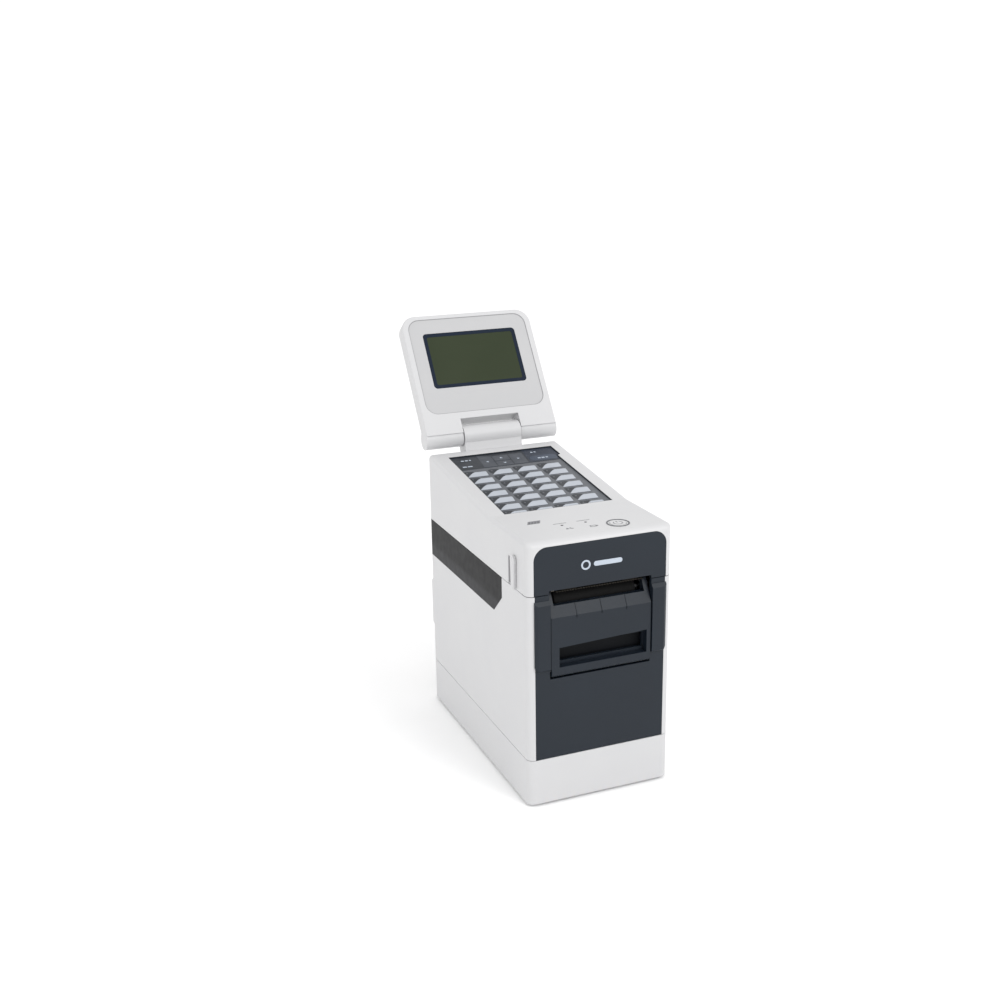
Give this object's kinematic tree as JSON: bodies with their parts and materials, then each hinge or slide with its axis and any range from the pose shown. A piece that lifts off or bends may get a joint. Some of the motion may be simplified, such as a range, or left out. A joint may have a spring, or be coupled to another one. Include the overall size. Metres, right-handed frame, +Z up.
{
  "type": "desktop label maker",
  "caption": "Desktop label maker with a roll compartment under a hinged cover, peeler door, keypad deck and flip-up display.",
  "frame": {"origin": "centre of the base footprint, on the desk, level with the soles of the feet", "axes": "+Z up, +X to the right as seen from the front, +Y from the front face to the rear"},
  "size_m": [0.114, 0.2691, 0.3108],
  "materials": {
    "white_abs": "fine moulded texture",
    "grey_abs": "fine moulded texture",
    "dark_abs": "fine moulded texture",
    "smoked_polycarbonate": "smooth, slightly glossy",
    "black_rubber": "matt",
    "zinc_steel": "zinc plated",
    "cast_aluminium": "extruded",
    "pcb": "solder mask",
    "acetal": "moulded gear plastic",
    "label_paper": "coated paper stock",
    "cardboard": "wound board",
    "ceramic": "glazed ceramic",
    "key_grey": "printed polyester film",
    "key_light": "printed polyester film",
    "touch_glass": "smooth",
    "lcd_glass": "glossy, olive screen behind",
    "lamp_lens": "smooth",
    "cup_grey": "moulded",
    "socket_black": "moulded",
    "battery_plastic": "moulded",
    "badge_print": "raised, painted"
  },
  "bodies": {
    "root": {"base_housing": "white_abs", "feet": "black_rubber", "case_screws": "zinc_steel", "chassis": "zinc_steel", "case_left": "white_abs", "case_right": "white_abs", "case_rear": "white_abs", "window_bands": "smoked_polycarbonate", "front_panel": "dark_abs", "front_wings": "dark_abs", "interface_housing": "white_abs", "power_inlet": "socket_black", "usb_socket": "zinc_steel", "network_socket": "socket_black", "main_board": "pcb", "roll_tub": "dark_abs", "mech_plate_left": "zinc_steel", "mech_plate_right": "zinc_steel", "drive_motor": "zinc_steel", "latch_pins": "zinc_steel", "cover_hinge_pins": "zinc_steel", "door_hinge_pins": "zinc_steel"},
    "battery": {"battery_pack": "battery_plastic"},
    "platen": {"platen_shaft": "zinc_steel", "platen_roller": "black_rubber", "platen_gear": "acetal"},
    "idler": {"idler_gear": "acetal"},
    "pinion": {"motor_pinion": "zinc_steel"},
    "guide_left": {"roll_guide_left": "grey_abs"},
    "guide_right": {"roll_guide_right": "grey_abs"},
    "roll": {"label_roll": "label_paper", "roll_core": "cardboard"},
    "door": {"peeler_door": "dark_abs"},
    "peeler": {"peel_roller": "zinc_steel"},
    "cover": {"cover_shell": "white_abs", "cover_front_panel": "dark_abs", "cover_badge": "badge_print", "head_frame": "zinc_steel", "tear_bar": "zinc_steel", "touch_panel": "touch_glass", "key_sheet": "key_grey", "key_tiles": "key_light", "control_board": "pcb", "power_ring": "key_grey", "indicator_lenses": "lamp_lens", "finger_cups": "cup_grey", "display_arm": "white_abs", "display_hinge_pin": "zinc_steel"},
    "head": {"head_bracket": "zinc_steel", "heat_sink": "cast_aluminium", "print_head": "ceramic", "head_springs": "zinc_steel"},
    "levers": {"release_levers": "white_abs", "release_shaft": "zinc_steel"},
    "button": {"power_button": "white_abs"},
    "display": {"display_front": "white_abs", "display_back": "white_abs", "display_bezel": "grey_abs", "lcd_window": "lcd_glass", "lcd_module": "zinc_steel"}
  },
  "joints": [
    {"name": "cover_hinge", "type": "hinge", "parent": "root", "child": "cover", "pos_m": [0, 0.104, 0.1575], "axis": [-1, 0, 0], "range_deg": [0, 85]},
    {"name": "lever_pull", "type": "hinge", "parent": "cover", "child": "levers", "pos_m": [0, -0.079, 0.178], "axis": [-1, 0, 0], "range_deg": [0, 14], "stiffness_Nm_per_rad": 0.4, "springref_deg": -5.73},
    {"name": "head_pivot", "type": "hinge", "parent": "cover", "child": "head", "pos_m": [0, -0.062, 0.166], "axis": [-1, 0, 0], "range_deg": [0, 4], "stiffness_Nm_per_rad": 0.5, "springref_deg": -5.73, "deforming": ["head_springs"]},
    {"name": "display_tilt", "type": "hinge", "parent": "cover", "child": "display", "pos_m": [0, 0.1036, 0.2203], "axis": [1, 0, 0], "range_deg": [-15, 126]},
    {"name": "button_press", "type": "slide", "parent": "cover", "child": "button", "axis": [0, 0, -1], "range_m": [0, 0.0008], "stiffness_N_per_m": 300, "springref_m": -0.001},
    {"name": "door_hinge", "type": "hinge", "parent": "root", "child": "door", "pos_m": [0, -0.0975, 0.1015], "axis": [1, 0, 0], "range_deg": [0, 70]},
    {"name": "peeler_spin", "type": "hinge", "parent": "door", "child": "peeler", "pos_m": [0, -0.0942, 0.144], "axis": [1, 0, 0], "continuous": true},
    {"name": "platen_spin", "type": "hinge", "parent": "root", "child": "platen", "pos_m": [0, -0.084, 0.1475], "axis": [1, 0, 0], "continuous": true},
    {"name": "idler_spin", "type": "hinge", "parent": "root", "child": "idler", "pos_m": [0, -0.07, 0.12559], "axis": [1, 0, 0], "continuous": true},
    {"name": "pinion_spin", "type": "hinge", "parent": "root", "child": "pinion", "pos_m": [0, -0.062, 0.10296], "axis": [1, 0, 0], "continuous": true},
    {"name": "roll_spin", "type": "hinge", "parent": "root", "child": "roll", "pos_m": [0, 0.022, 0.104], "axis": [1, 0, 0], "continuous": true},
    {"name": "guide_left_slide", "type": "slide", "parent": "root", "child": "guide_left", "axis": [-1, 0, 0], "range_m": [0, 0.013]},
    {"name": "guide_right_slide", "type": "slide", "parent": "root", "child": "guide_right", "axis": [1, 0, 0], "range_m": [0, 0.013]},
    {"name": "battery_slide", "type": "slide", "parent": "root", "child": "battery", "axis": [0, 1, 0], "range_m": [0, 0.165]}
  ],
  "couplings": [
    {"joint": "idler_spin", "follows": "platen_spin", "ratio": -0.44444},
    {"joint": "pinion_spin", "follows": "platen_spin", "ratio": 1.3333},
    {"joint": "guide_right_slide", "follows": "guide_left_slide", "ratio": 1}
  ]
}
